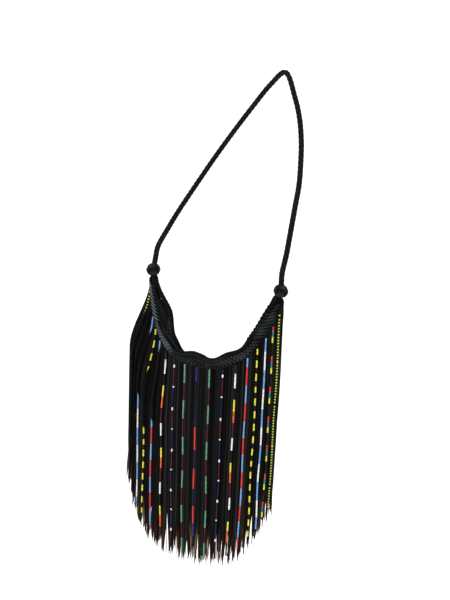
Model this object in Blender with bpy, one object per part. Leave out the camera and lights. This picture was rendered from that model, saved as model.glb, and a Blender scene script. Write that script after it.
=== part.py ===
"""Beaded fringe crossbody purse.

A soft leather pouch that curves round the wearer's hip. A broad laced rim follows the
scooped mouth, and a curtain of leather strips with strands of beads hangs from the rim's
lower edge. A round braided strap runs from one end of the rim to the other.

Units are metres. +X runs from tip to tip, -Y is the fringed front and +Z is up. The origin
is the place under the top of the strap where the purse hangs.

The purse is laid out on an unrolled surface: "across" is a width that runs round the hip,
measured at the rim's outer face, "height" runs up and "radius" is the distance from the
hip's upright axis.
"""
import math
import random

import bmesh
import bpy
from mathutils import Matrix, Vector

# Where the purse hangs: from the hip's axis, at the height of the scoop's rim, to the origin.
hang_point = Vector((0.042, 0.100, 0.424))

# Clearances and leather thicknesses.
seat_gap = 0.0003
fall_gap = 0.0006
leather = 0.0016
facing_leather = 0.0012
lining_cloth = 0.0008
lining_gap = 0.0008

# The seam that the fringe hangs from, unrolled: a deep scoop with rising sides.
rim_radius = 0.175
scoop_half_width = 0.1475
scoop_depth = 0.0965
scoop_power = 2.9
tip_reach = 0.230

# The laced rim that runs along the seam.
rim_width = 0.0195
rim_narrowing = 0.004
narrowing_length = 0.050
back_rim_thickness = 0.0046
lace_pitch = 0.0096
lace_height = 0.0011
welt_diameter = 0.004

# Worn shape of the mouth: its edge is wavy, and the back edge hangs lower and is hidden,
# except on the left, where it rises and stands away from the front.
wave_height = 0.0045
wave_length = 0.078
wave_crest = -0.008
wave_reach = 0.200
back_dip = 0.0085
dip_left_start = 0.060
dip_left_reach = 0.050
dip_right_start = 0.125
dip_right_reach = 0.035
gape = 0.010
gape_middle = -0.126
gape_reach = 0.040

# The mouth, the pouch and its fullness.
mouth_gap = 0.013
tip_gap = 0.004
tip_gap_start = 0.126
tip_gap_reach = 0.034
pouch_overhang = 0.021
pouch_end_height = 0.012
pouch_depth = 0.282
pouch_power = 2.4
pouch_swell = 0.004
side_swell = 0.028
side_swell_start = 0.040
side_swell_width = 0.125
swell_reach = 0.140
swell_edge_share = 0.6
hip_relief = 0.014
panel_slack = 0.003

# What hangs from the rim: a station is a bead strand with the strips beside it.
side_stations = 8
end_stretch = 0.022
fringe_length = 0.424
side_length = 0.014
side_length_start = 0.030
side_length_reach = 0.070
edge_swell = 0.006
edge_swell_start = 0.150
edge_swell_reach = 0.016
strip_thickness = 0.0015
strip_pitch = 0.0045
strip_gap = 0.0009
bundle_gap = 0.0016
header_depth = 0.006
cut_slant = 0.007
cut_unevenness = 0.020
bead_diameter = 0.0034
strand_length = 0.406
strand_drop = 0.003
drift = 0.010
drift_middle = -0.035
drift_reach = 0.100

# Closure, pocket, knots and strap.
snap_diameter = 0.013
snap_edge = 0.0007
snap_stud_diameter = 0.007
snap_stud_height = 0.0014
snap_play = 0.001
pocket_half_width = 0.048
pocket_top = -0.140
pocket_depth = 0.075
knot_diameter = 0.028
knot_shift = 0.004
knot_groove = 0.0012
knot_windings = 6
strap_diameter = 0.0118

# Fineness of the surfaces, in counts, and the small turn that measures an outline's slope.
seam_steps = 300
plain_rim_steps = 48
small_turn = 0.002
wall_steps = 28
panel_rows = 8
pocket_columns = 8
pocket_rows = 4
strap_points = 64
route_steps = 24
round_sides = 16

# Worked-out widths: the pouch reaches past the scoop, and the stations share out the seam.
pouch_half_width = scoop_half_width + pouch_overhang
station_pitch = (tip_reach - end_stretch) / side_stations

# Worked-out places on the hip: the front wall lies under the strips and the beads.
hang_stack = fall_gap + strip_thickness + seat_gap + bead_diameter
panel_face = rim_radius - hang_stack
panel_inner = panel_face - leather
facing_stack = seat_gap + facing_leather
back_inner = panel_inner - mouth_gap
strip_lift = fall_gap

# The strap's route from the right knot over the shoulder and down behind to the left knot,
# in metres from the hip's axis. It keeps the path that it has when the purse is worn.
strap_route = (
    (0.132, -0.101, 0.090), (0.134, -0.090, 0.122), (0.131, -0.068, 0.155), (0.127, -0.040, 0.198),
    (0.124, -0.016, 0.238), (0.117, 0.006, 0.274), (0.107, 0.030, 0.312), (0.092, 0.054, 0.352),
    (0.071, 0.078, 0.389), (0.042, 0.100, 0.4299), (0.004, 0.120, 0.402), (-0.038, 0.133, 0.352),
    (-0.078, 0.132, 0.296), (-0.110, 0.112, 0.240), (-0.131, 0.072, 0.188), (-0.141, 0.022, 0.147),
    (-0.141, -0.030, 0.117), (-0.137, -0.074, 0.096), (-0.131, -0.096, 0.079),
)


def remove_old_objects():
    for old in list(bpy.data.objects):
        bpy.data.objects.remove(old, do_unlink=True)


def make_material(name, colour, roughness, metallic=0.0):
    material = bpy.data.materials.new(name)
    material.use_nodes = True
    surface = material.node_tree.nodes["Principled BSDF"]
    surface.inputs["Base Color"].default_value = (*colour, 1.0)
    surface.inputs["Roughness"].default_value = roughness
    surface.inputs["Metallic"].default_value = metallic
    return material


# The unrolled layout and the places on it.
def ease(share):
    """Smooth step from 0 to 1, level at both ends."""
    held = min(1.0, max(0.0, share))
    return held * held * (3.0 - 2.0 * held)


def wrap(across, height, radius):
    """Place a point of the unrolled layout round the hip."""
    turn = across / rim_radius
    place = Vector((radius * math.sin(turn), -radius * math.cos(turn), height))
    return place - hang_point


def seam_height(across):
    return scoop_depth * ((abs(across) / scoop_half_width) ** scoop_power - 1.0)


def seam_slope(across):
    steepness = scoop_depth * scoop_power / scoop_half_width
    slope = steepness * (abs(across) / scoop_half_width) ** (scoop_power - 1.0)
    return math.copysign(slope, across)


def measure_seam():
    """Widths at equal small steps, with the seam's length up to each, from the middle out."""
    step = scoop_half_width / seam_steps
    rows = [(0.0, 0.0)]
    while rows[-1][1] < tip_reach:
        across = rows[-1][0] + step
        rise = seam_height(across) - seam_height(rows[-1][0])
        rows.append((across, rows[-1][1] + math.hypot(step, rise)))
    return rows


seam_rows = measure_seam()


def seam_across(along):
    """Width at which the seam, measured from its middle, has the given length."""
    wanted = min(abs(along), tip_reach)
    for low, high in zip(seam_rows, seam_rows[1:]):
        if high[1] >= wanted:
            share = (wanted - low[1]) / (high[1] - low[1])
            return math.copysign(low[0] + share * (high[0] - low[0]), along)
    return math.copysign(seam_rows[-1][0], along)


def seam_place(along, inward):
    """Width and height of a point that lies inward of the seam, square to it."""
    across = seam_across(along)
    tilt = math.atan(seam_slope(across))
    return across - inward * math.sin(tilt), seam_height(across) + inward * math.cos(tilt)


def dip_share(across):
    """Share of the back edge's dip: 1 at the middle of the scoop, 0 at its sides."""
    if across < 0.0:
        return 1.0 - ease((-across - dip_left_start) / dip_left_reach)
    return 1.0 - ease((across - dip_right_start) / dip_right_reach)


def back_place(along, inward):
    """Place on the back edge of the mouth, which hangs lower in the middle."""
    across, height = seam_place(along, inward)
    return across, height - back_dip * dip_share(seam_across(along))


def rim_width_at(along):
    start = tip_reach - narrowing_length
    narrowing = rim_narrowing * ease((abs(along) - start) / narrowing_length)
    wave = wave_height * math.cos(math.tau * (along - wave_crest) / wave_length)
    return rim_width - narrowing + wave * (1.0 - ease(abs(along) / wave_reach))


def pouch_outline(share, inset):
    """Width and height on the pouch's lower outline, inset square to it. Share runs -1 to 1."""
    def outline(turn):
        side = math.copysign(abs(math.sin(turn)) ** (2.0 / pouch_power), turn)
        low = math.cos(turn) ** (2.0 / pouch_power)
        return pouch_half_width * side, pouch_end_height - pouch_depth * low
    limit = math.pi / 2
    turn = share * limit
    before = outline(max(-limit, turn - small_turn))
    after = outline(min(limit, turn + small_turn))
    run, rise = after[0] - before[0], after[1] - before[1]
    length = math.hypot(run, rise)
    across, height = outline(turn)
    return across - inset * rise / length, height + inset * run / length


def swell_at(across):
    """How far the front stands out: most on the left, where the purse rounds the hip."""
    return pouch_swell + side_swell * ease((-across - side_swell_start) / side_swell_width)


def drop_below_seam(across, height):
    return max(0.0, seam_height(across) - height)


def front_radius(across, height, down):
    """Outer face of the front panel. Down runs from 0 at the seam to 1 at the outline."""
    fullness = ease(drop_below_seam(across, height) / swell_reach)
    flattening = 1.0 - ease((down - swell_edge_share) / (1.0 - swell_edge_share))
    return panel_face + max(0.0, swell_at(across) - panel_slack) * fullness * flattening


def front_inner_at(across):
    """Inner face of the front wall along the mouth, the same all the way."""
    return panel_inner


def back_inner_at(across):
    """Inner face of the back wall along the mouth, which meets the front wall at the tips."""
    closing = (mouth_gap - tip_gap) * ease((abs(across) - tip_gap_start) / tip_gap_reach)
    gaping = gape * max(0.0, 1.0 - ((across - gape_middle) / gape_reach) ** 2) ** 2
    return back_inner + closing - gaping


def back_radius(across, height, down=0.0):
    """Inner face of the back panel, which sinks towards the hip below the mouth."""
    return back_inner_at(across) - hip_relief * ease(drop_below_seam(across, height) / swell_reach)


def pouch_place(edge_place, share, down, top_inset, edge_inset):
    top = edge_place(share * tip_reach, -top_inset)
    low = pouch_outline(share, edge_inset)
    return top[0] + down * (low[0] - top[0]), top[1] + down * (low[1] - top[1])


def hang_swell_at(across):
    """How far what hangs stands out: as far as the front, and more at the left edge."""
    return swell_at(across) + edge_swell * ease((-across - edge_swell_start) / edge_swell_reach)


def hang_place(across, drop, lift, start_height):
    """A point of something that hangs from the seam in front of the pouch."""
    leaning = max(0.0, 1.0 - ((across - drift_middle) / drift_reach) ** 2)
    drifted = across + drift * leaning * drop / fringe_length
    radius = panel_face + lift + hang_swell_at(across) * ease(drop / swell_reach)
    return wrap(drifted, start_height - drop, radius)


# Mesh makers.
def finish_mesh(name, bm, material, smooth_angle=40.0):
    bmesh.ops.recalc_face_normals(bm, faces=bm.faces)
    if bm.calc_volume(signed=True) < 0:
        bmesh.ops.reverse_faces(bm, faces=bm.faces)
    mesh = bpy.data.meshes.new(name)
    bm.to_mesh(mesh)
    bm.free()
    mesh.shade_smooth()
    mesh.set_sharp_from_angle(angle=math.radians(smooth_angle))
    mesh.materials.append(material)
    piece = bpy.data.objects.new(name, mesh)
    bpy.context.collection.objects.link(piece)
    return piece


def make_slab(name, outer, inner, material, missing=()):
    """Closed sheet between two grids of points. Cells named in missing are left open."""
    bm = bmesh.new()
    used = set()
    cells = []
    for row in range(len(outer) - 1):
        for column in range(len(outer[0]) - 1):
            if (row, column) not in missing:
                cells.append((row, column))
                used.update((row + r, column + c) for r in (0, 1) for c in (0, 1))
    front = {key: bm.verts.new(outer[key[0]][key[1]]) for key in sorted(used)}
    back = {key: bm.verts.new(inner[key[0]][key[1]]) for key in sorted(used)}
    edges = {}
    for row, column in cells:
        corners = [(row, column), (row, column + 1), (row + 1, column + 1), (row + 1, column)]
        bm.faces.new([front[key] for key in corners])
        bm.faces.new([back[key] for key in reversed(corners)])
        for start, end in zip(corners, corners[1:] + corners[:1]):
            if (end, start) in edges:
                del edges[(end, start)]
            else:
                edges[(start, end)] = True
    for start, end in edges:
        bm.faces.new([front[end], front[start], back[start], back[end]])
    return finish_mesh(name, bm, material)


def make_tube(name, points, diameter, resolution, material):
    """Round cord through the points, with closed ends."""
    curve = bpy.data.curves.new(name, "CURVE")
    curve.dimensions = "3D"
    curve.bevel_depth = diameter / 2
    curve.bevel_resolution = resolution
    curve.use_fill_caps = True
    spline = curve.splines.new("POLY")
    spline.points.add(len(points) - 1)
    for spot, place in zip(spline.points, points):
        spot.co = (*place, 1.0)
    curve.materials.append(material)
    piece = bpy.data.objects.new(name, curve)
    bpy.context.collection.objects.link(piece)
    return piece


def make_turned(name, profile, material, place, axis):
    """Solid of revolution with flat ends: profile is a list of (radius, height), bottom to top."""
    bm = bmesh.new()
    verts = [bm.verts.new((radius, 0.0, height)) for radius, height in profile]
    for low, high in zip(verts, verts[1:]):
        bm.edges.new((low, high))
    bmesh.ops.spin(
        bm, geom=bm.verts[:] + bm.edges[:], cent=(0, 0, 0), axis=(0, 0, 1),
        angle=math.tau, steps=round_sides, use_merge=True,
    )
    bmesh.ops.holes_fill(bm, edges=[edge for edge in bm.edges if edge.is_boundary], sides=0)
    bm.transform(Matrix.Translation(place) @ axis.to_track_quat("Z", "Y").to_matrix().to_4x4())
    return finish_mesh(name, bm, material)


def smooth_route(places, count):
    """Evenly spaced points on a smooth curve through the places."""
    fine = []
    for index in range(len(places) - 1):
        before = places[max(0, index - 1)]
        start, end = places[index], places[index + 1]
        after = places[min(len(places) - 1, index + 2)]
        for step in range(route_steps):
            t = step / route_steps
            fine.append(0.5 * (
                2.0 * start + (end - before) * t
                + (2.0 * before - 5.0 * start + 4.0 * end - after) * t * t
                + (3.0 * start - before - 3.0 * end + after) * t ** 3
            ))
    fine.append(places[-1])
    lengths = [0.0]
    for low, high in zip(fine, fine[1:]):
        lengths.append(lengths[-1] + (high - low).length)
    points = []
    spot = 0
    for step in range(count):
        wanted = lengths[-1] * step / (count - 1)
        while spot < len(fine) - 2 and lengths[spot + 1] < wanted:
            spot += 1
        share = (wanted - lengths[spot]) / (lengths[spot + 1] - lengths[spot])
        points.append(fine[spot].lerp(fine[spot + 1], share))
    return points, lengths[-1]


# The rim: laced band, inner facing and rolled welt along the scoop.
def rim_shares(steps):
    return [2.0 * step / steps - 1.0 for step in range(steps + 1)]


# Places across the facing, and across the band with its crown as a share of its thickness.
facing_shares = (0.0, 0.5, 1.0)
crown_shares = ((0.0, 0.6), (0.2, 0.9), (0.4, 1.0), (0.6, 1.0), (0.8, 0.9), (1.0, 0.6))


def make_rim(name, edge_place, inner_at, thickness, outward, lacing, material):
    """Band along the seam. Laces that cross over and under stand up by turns on its face."""
    steps = 2 * round(2.0 * tip_reach / lace_pitch) if lacing else plain_rim_steps
    outer, inner = [], []
    for step, share in enumerate(rim_shares(steps)):
        along = share * tip_reach
        width = rim_width_at(along)
        radius = inner_at(seam_across(along))
        crest, flat = [], []
        for column, (width_share, crown_share) in enumerate(crown_shares):
            across, height = edge_place(along, width_share * width)
            sunk = lacing * ((step + column) % 2)
            rise = thickness * crown_share - sunk
            crest.append(wrap(across, height, radius + outward * rise))
            flat.append(wrap(across, height, radius))
        outer.append(crest)
        inner.append(flat)
    return make_slab(name, outer, inner, material)


def make_facing(name, edge_place, inner_at, inward, material):
    """Plain strip that covers the inside of the rim."""
    outer, inner = [], []
    for share in rim_shares(plain_rim_steps):
        along = share * tip_reach
        width = rim_width_at(along) - 2.0 * seat_gap
        radius = inner_at(seam_across(along))
        face, reverse = [], []
        for width_share in facing_shares:
            across, height = edge_place(along, seat_gap + width_share * width)
            face.append(wrap(across, height, radius + inward * seat_gap))
            reverse.append(wrap(across, height, radius + inward * facing_stack))
        outer.append(face)
        inner.append(reverse)
    return make_slab(name, outer, inner, material)


def make_welt(name, edge_place, inner_at, outward, material):
    """Rolled piping that closes the top edge of a rim."""
    points = []
    for share in rim_shares(plain_rim_steps):
        along = share * (tip_reach - welt_diameter)
        rise = rim_width_at(along) + seat_gap + welt_diameter / 2
        across, height = edge_place(along, rise)
        points.append(wrap(across, height, inner_at(seam_across(along)) + outward * welt_diameter / 2))
    return make_tube(name, points, welt_diameter, 1, material)


# The pouch: two panels, the gusset between them, the lining and a slip pocket.
def make_panel(name, edge_place, radius_of_face, material):
    outer, inner = [], []
    for share in rim_shares(wall_steps):
        face, reverse = [], []
        for row in range(panel_rows + 1):
            down = row / panel_rows
            across, height = pouch_place(edge_place, share, down, fall_gap, 0.0)
            radius = radius_of_face(across, height, down)
            face.append(wrap(across, height, radius))
            reverse.append(wrap(across, height, radius - leather))
        outer.append(face)
        inner.append(reverse)
    return make_slab(name, outer, inner, material)


def make_gusset(name, material):
    """Strip that joins the two panels along the pouch's lower outline."""
    outer, inner = [], []
    for share in rim_shares(wall_steps):
        rows = []
        for inset in (seat_gap, seat_gap + leather):
            across, height = pouch_outline(share, inset)
            low = back_radius(across, height) + lining_gap
            high = panel_inner - lining_gap
            rows.append([wrap(across, height, low), wrap(across, height, high)])
        outer.append(rows[0])
        inner.append(rows[1])
    return make_slab(name, outer, inner, material)


def make_lining(name, material):
    """Cloth bag inside the pouch, open at the top."""
    outer, inner = [], []
    for share in rim_shares(wall_steps):
        face, reverse = [], []
        inset = seat_gap + leather + lining_gap
        for side in ("front", "back"):
            rows = range(panel_rows + 1) if side == "front" else range(panel_rows, -1, -1)
            for row in rows:
                down = row / panel_rows
                edge_place = seam_place if side == "front" else back_place
                across, height = pouch_place(edge_place, share, down, lining_gap, inset)
                near = pouch_place(edge_place, share, down, lining_gap, inset + lining_cloth)
                if side == "front":
                    radius = front_radius(across, height, down) - leather - lining_gap
                    turned_in = -lining_cloth
                else:
                    radius = back_radius(across, height) + lining_gap
                    turned_in = lining_cloth
                face.append(wrap(across, height, radius))
                reverse.append(wrap(near[0], near[1], radius + turned_in))
        outer.append(face)
        inner.append(reverse)
    return make_slab(name, outer, inner, material)


def make_pocket(name, material):
    """Slip pocket sewn on the lining of the back panel."""
    outer, inner = [], []
    for column in range(pocket_columns + 1):
        across = pocket_half_width * (2.0 * column / pocket_columns - 1.0)
        face, reverse = [], []
        for row in range(pocket_rows + 1):
            height = pocket_top - pocket_depth * row / pocket_rows
            low = back_radius(across, height) + lining_gap + lining_cloth + lining_gap
            face.append(wrap(across, height, low + lining_cloth))
            reverse.append(wrap(across, height, low))
        outer.append(face)
        inner.append(reverse)
    return make_slab(name, outer, inner, material)


# The closure and the knots.
def snap_sizes():
    """Where each half of the snap stands on its facing, and the thickness of each."""
    facing_inner = panel_inner - facing_stack
    facing_sag = facing_inner - math.sqrt(facing_inner ** 2 - (snap_diameter / 2) ** 2)
    front_start = facing_inner - seat_gap - facing_sag
    back_start = back_inner + facing_stack + seat_gap
    thickness = (front_start - back_start - seat_gap) / 2
    return front_start, back_start, thickness


def make_snap_half(name, outward, start_radius, thickness, middle, material):
    """Magnetic snap half on a facing. The stud of one half enters the socket of the other."""
    half = snap_diameter / 2
    foot = [(half - snap_edge, 0.0), (half, snap_edge)]
    shoulder = [(half, thickness - snap_edge), (half - snap_edge, thickness)]
    place = wrap(0.0, (rim_width_at(0.0) - back_dip) / 2 - scoop_depth, start_radius)
    return make_turned(name, foot + shoulder + middle, material, place, Vector((0.0, outward, 0.0)))


def make_snap(material):
    front_start, back_start, thickness = snap_sizes()
    stud = snap_stud_diameter / 2
    top = thickness + snap_stud_height
    stud_profile = [(stud, thickness), (stud, top - snap_edge), (stud - snap_edge, top)]
    socket_floor = thickness - snap_stud_height - seat_gap
    socket_profile = [(stud + snap_play, thickness), (stud + snap_play, socket_floor)]
    make_snap_half("snap_front", 1.0, front_start, thickness, socket_profile, material)
    make_snap_half("snap_back", -1.0, back_start, thickness, stud_profile, material)


def knot_place(side):
    """Middle of the knot at one end of the rim: side is -1 for left and 1 for right."""
    along = side * tip_reach
    beyond = knot_diameter / 2 + seat_gap
    tilt = math.atan(seam_slope(seam_across(along)))
    across, height = seam_place(along, rim_width_at(along) / 2 + knot_shift)
    radius = (rim_radius + back_inner_at(seam_across(along)) - back_rim_thickness) / 2
    return wrap(across + side * beyond * math.cos(tilt), height + beyond * abs(math.sin(tilt)), radius)


def make_knot(name, side, material):
    """Ball of wound leather cord that binds the two rims to the strap."""
    profile = []
    rings = knot_windings * 2
    for ring in range(1, rings):
        turn = math.pi * ring / rings
        radius = knot_diameter / 2 - (knot_groove if ring % 2 else 0.0)
        profile.append((radius * math.sin(turn), -radius * math.cos(turn)))
    return make_turned(name, profile, material, knot_place(side), Vector((0.0, 0.0, 1.0)))


# The fringe and the bead strands.
# Bends of everything that hangs, as shares of the height over which the pouch swells.
bend_shares = (0.30, 0.55, 0.78, 1.0)


def bend_drops():
    return [header_depth] + [swell_reach * share for share in bend_shares]


def station_tilt(station):
    return math.atan(seam_slope(seam_across(station * station_pitch)))


def cut_length_at(across):
    """Longest cut of the strips, which are longer at the sides."""
    return fringe_length + side_length * ease((abs(across) - side_length_start) / side_length_reach)


def make_fringe_bundle(name, station, material, chance):
    """Comb of leather strips on one side and the other of a station's bead strand."""
    reach_in = (abs(station) - 0.5) * station_pitch
    reach_out = (abs(station) + 0.5) * station_pitch
    if abs(station) == side_stations:
        reach_out = tip_reach - seat_gap
    ends = [seam_across(reach_out), seam_across(reach_in)]
    if station == 0:
        ends = [seam_across(-reach_out), seam_across(reach_out)]
    elif station < 0:
        ends = [-end for end in ends]
    left, right = min(ends) + bundle_gap / 2, max(ends) - bundle_gap / 2
    count = max(2, round((right - left) / strip_pitch))
    pitch = (right - left + strip_gap) / count
    lines = []
    for strip in range(count):
        lines.append(left + strip * pitch)
        lines.append(left + (strip + 1) * pitch - strip_gap)
    cuts = []
    for strip in range(count):
        length = cut_length_at(lines[2 * strip]) - cut_unevenness * chance.random()
        slant = cut_slant * (chance.random() - 0.5)
        cuts.append((length - slant, length + slant))
    drops = [0.0] + bend_drops()
    outer, inner = [], []
    for row in range(len(drops) + 1):
        face, reverse = [], []
        for index, across in enumerate(lines):
            tilt = math.atan(seam_slope(across))
            start = seam_height(across) - fall_gap / math.cos(tilt)
            drop = drops[row] if row < len(drops) else cuts[index // 2][index % 2]
            face.append(hang_place(across, drop, strip_lift + strip_thickness, start))
            reverse.append(hang_place(across, drop, strip_lift, start))
        outer.append(face)
        inner.append(reverse)
    open_cells = {
        (row, column)
        for row in range(1, len(drops))
        for column in range(1, len(lines) - 1, 2)
    }
    return make_slab(name, outer, inner, material, open_cells)


def bead_lift(across, drop):
    """Distance of a strand's middle in front of the pouch, more where the strips slant under it."""
    height = seam_height(across) - drop

    def stand_out(spot):
        return hang_swell_at(spot) * ease(drop_below_seam(spot, height) / swell_reach)
    reach = bead_diameter / 2
    slant = (stand_out(across + reach) - stand_out(across - reach)) / bead_diameter
    return fall_gap + strip_thickness + (seat_gap + reach) * math.hypot(1.0, slant)


def make_bead_strand(name, station, material):
    """Threaded beads as one round string that lies on the strips."""
    across = seam_across(station * station_pitch)
    top_drop = (strand_drop - fall_gap) / math.cos(station_tilt(station))
    start = seam_height(across) - fall_gap / math.cos(station_tilt(station))
    drops = [top_drop] + [drop for drop in bend_drops() if drop > top_drop] + [strand_length]
    points = [hang_place(across, drop, bead_lift(across, drop), start) for drop in drops]
    return make_tube(name, points, bead_diameter, 1, material)


def station_name(station):
    side = "middle" if station == 0 else ("left" if station < 0 else "right")
    return side if station == 0 else f"{side}_{abs(station)}"


def make_falls(strip_leather, bead_glass):
    chance = random.Random(11)
    for station in range(-side_stations, side_stations + 1):
        make_fringe_bundle(f"fringe_{station_name(station)}", station, strip_leather, chance)
        make_bead_strand(f"bead_strand_{station_name(station)}", station, bead_glass)


def make_strap(name, material):
    """Braided strap as a plain round cord along its worn path."""
    places = [Vector(spot) - hang_point for spot in strap_route]
    right, left = knot_place(1), knot_place(-1)
    beyond = knot_diameter / 2 + seat_gap
    start = right + (places[0] - right).normalized() * beyond
    end = left + (places[-1] - left).normalized() * beyond
    points, length = smooth_route([start] + places + [end], strap_points)
    print(f"strap length {length:.4f} m, starts {tuple(round(value, 4) for value in start)}")
    return make_tube(name, points, strap_diameter, 2, material)


def build_purse():
    remove_old_objects()
    black_leather = make_material("black_leather", (0.020, 0.018, 0.018), 0.45)
    strip_leather = make_material("strip_leather", (0.028, 0.022, 0.020), 0.5)
    lining_fabric = make_material("lining_fabric", (0.10, 0.085, 0.075), 0.9)
    bead_glass = make_material("bead_glass", (0.45, 0.05, 0.06), 0.15)
    snap_metal = make_material("snap_metal", (0.55, 0.53, 0.50), 0.3, 1.0)

    front_thickness = rim_radius - panel_inner
    make_rim("front_rim", seam_place, front_inner_at, front_thickness, 1.0, lace_height, black_leather)
    make_rim("back_rim", back_place, back_inner_at, back_rim_thickness, -1.0, 0.0, black_leather)
    make_welt("front_welt", seam_place, front_inner_at, 1.0, black_leather)
    make_welt("back_welt", back_place, back_inner_at, -1.0, black_leather)
    make_facing("front_facing", seam_place, front_inner_at, -1.0, black_leather)
    make_facing("back_facing", back_place, back_inner_at, 1.0, black_leather)

    make_panel("front_panel", seam_place, front_radius, black_leather)
    make_panel("back_panel", back_place, back_radius, black_leather)
    make_gusset("gusset", black_leather)
    make_lining("lining", lining_fabric)
    make_pocket("inner_pocket", lining_fabric)

    make_snap(snap_metal)
    make_knot("knot_left", -1, black_leather)
    make_knot("knot_right", 1, black_leather)
    make_falls(strip_leather, bead_glass)
    make_strap("strap_braid", black_leather)


build_purse()
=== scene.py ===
"""Looks of the beaded fringe crossbody purse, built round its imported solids.

Every piece is laid out on the same unrolled surface as the solids. "Across" is a width that
runs round the hip, measured at the rim's outer face, and "height" runs up. "Along" is a length
along the seam under the rims, from its middle, "inward" is a distance from the seam towards the
mouth, and "drop" is one down from it. "Radius" is the distance from the hip's upright axis, and
"lift" is the distance in front of the pouch.
"""
import math
import random

import bpy
import numpy as np
from mathutils import Euler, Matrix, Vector, noise


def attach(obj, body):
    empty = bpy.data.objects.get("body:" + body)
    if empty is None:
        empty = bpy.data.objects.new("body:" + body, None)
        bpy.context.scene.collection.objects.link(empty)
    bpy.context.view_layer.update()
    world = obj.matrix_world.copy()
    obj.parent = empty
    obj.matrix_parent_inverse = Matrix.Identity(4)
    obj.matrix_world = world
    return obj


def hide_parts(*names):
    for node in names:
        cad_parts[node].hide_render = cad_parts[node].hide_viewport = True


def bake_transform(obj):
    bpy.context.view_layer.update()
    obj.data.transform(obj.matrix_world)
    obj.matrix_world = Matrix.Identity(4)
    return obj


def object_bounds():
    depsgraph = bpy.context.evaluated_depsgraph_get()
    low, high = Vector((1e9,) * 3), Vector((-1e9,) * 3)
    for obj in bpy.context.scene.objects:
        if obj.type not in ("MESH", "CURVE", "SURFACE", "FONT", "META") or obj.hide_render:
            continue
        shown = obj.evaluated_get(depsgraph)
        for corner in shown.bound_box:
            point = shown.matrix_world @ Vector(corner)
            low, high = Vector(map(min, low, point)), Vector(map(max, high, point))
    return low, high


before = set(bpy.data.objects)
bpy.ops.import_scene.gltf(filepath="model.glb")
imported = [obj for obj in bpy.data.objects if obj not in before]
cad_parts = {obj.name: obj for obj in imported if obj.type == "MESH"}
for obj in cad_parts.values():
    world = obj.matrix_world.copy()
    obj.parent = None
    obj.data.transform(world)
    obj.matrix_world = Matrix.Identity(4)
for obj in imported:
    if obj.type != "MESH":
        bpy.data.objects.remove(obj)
cad_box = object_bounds()

# Sizes of the real purse, in metres, as the solids have them.
mm = 0.001
hang_point = np.array([0.042, 0.100, 0.424])
rim_radius = 0.175
scoop_half_width = 0.1475
scoop_depth = 0.0965
scoop_power = 2.9
tip_reach = 0.230
rim_width = 0.0195
rim_narrowing = 0.004
narrowing_length = 0.050
wave_height = 0.0045
wave_length = 0.078
wave_crest = -0.008
wave_reach = 0.200
back_dip = 0.0085
dip_left_start = 0.060
dip_left_reach = 0.050
dip_right_start = 0.125
dip_right_reach = 0.035
gape = 0.010
gape_middle = -0.126
gape_reach = 0.040
mouth_gap = 0.013
tip_gap = 0.004
tip_gap_start = 0.126
tip_gap_reach = 0.034
leather = 0.0016
facing_leather = 0.0012
lining_cloth = 0.0008
lining_gap = 0.0008
fall_gap = 0.0006
strip_thickness = 0.0015
seat_gap = 0.0003
bead_diameter = 0.0034
pouch_overhang = 0.021
pouch_end_height = 0.012
pouch_depth = 0.282
pouch_power = 2.4
pouch_swell = 0.004
side_swell = 0.028
side_swell_start = 0.040
side_swell_width = 0.125
swell_reach = 0.140
swell_edge_share = 0.6
panel_slack = 0.003
hip_relief = 0.014
side_stations = 8
end_stretch = 0.022
fringe_length = 0.424
side_length = 0.014
side_length_start = 0.030
side_length_reach = 0.070
edge_swell = 0.006
edge_swell_start = 0.150
edge_swell_reach = 0.016
strand_length = 0.406
drift = 0.010
drift_middle = -0.035
drift_reach = 0.100
knot_diameter = 0.028
knot_shift = 0.004
welt_diameter = 0.004
back_rim_thickness = 0.0046

pouch_half_width = scoop_half_width + pouch_overhang
station_pitch = (tip_reach - end_stretch) / side_stations
panel_face = rim_radius - (fall_gap + strip_thickness + seat_gap + bead_diameter)
panel_inner = panel_face - leather
back_inner = panel_inner - mouth_gap

# The strap's route, in metres from the hip's axis, as the solids have it.
strap_route = (
    (0.132, -0.101, 0.090), (0.134, -0.090, 0.122), (0.131, -0.068, 0.155), (0.127, -0.040, 0.198),
    (0.124, -0.016, 0.238), (0.117, 0.006, 0.274), (0.107, 0.030, 0.312), (0.092, 0.054, 0.352),
    (0.071, 0.078, 0.389), (0.042, 0.100, 0.4299), (0.004, 0.120, 0.402), (-0.038, 0.133, 0.352),
    (-0.078, 0.132, 0.296), (-0.110, 0.112, 0.240), (-0.131, 0.072, 0.188), (-0.141, 0.022, 0.147),
    (-0.141, -0.030, 0.117), (-0.137, -0.074, 0.096), (-0.131, -0.096, 0.079),
)

# The photograph's camera, found from where the strands start along the rim.
camera_azimuth = math.radians(22.7)
camera_elevation = math.radians(18.0)
camera_roll = math.radians(2.7)
camera_distance = 2.0
camera_shift_right = -0.0203
camera_shift_up = -0.0129
camera_lens = 60.0
camera_clip_start = 0.05


# Layout.
def ease(share):
    """From 0 to 1, slow at both ends."""
    held = np.clip(share, 0.0, 1.0)
    return held * held * (3.0 - 2.0 * held)


def wrap(across, height, radius):
    """Places on the surface round the hip, measured from the point that the purse hangs by."""
    across, height, radius = np.broadcast_arrays(across, height, radius)
    turn = across / rim_radius
    return np.stack([radius * np.sin(turn), -radius * np.cos(turn), height], -1) - hang_point


def away_from_hip(across):
    """Level ways straight out from the hip."""
    turn = across / rim_radius
    return np.stack([np.sin(turn), -np.cos(turn), 0.0 * turn], -1)


def seam_height(across):
    return scoop_depth * ((np.abs(across) / scoop_half_width) ** scoop_power - 1.0)


def seam_slope(across):
    steepness = scoop_depth * scoop_power / scoop_half_width
    return np.sign(across) * steepness * (np.abs(across) / scoop_half_width) ** (scoop_power - 1.0)


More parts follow.
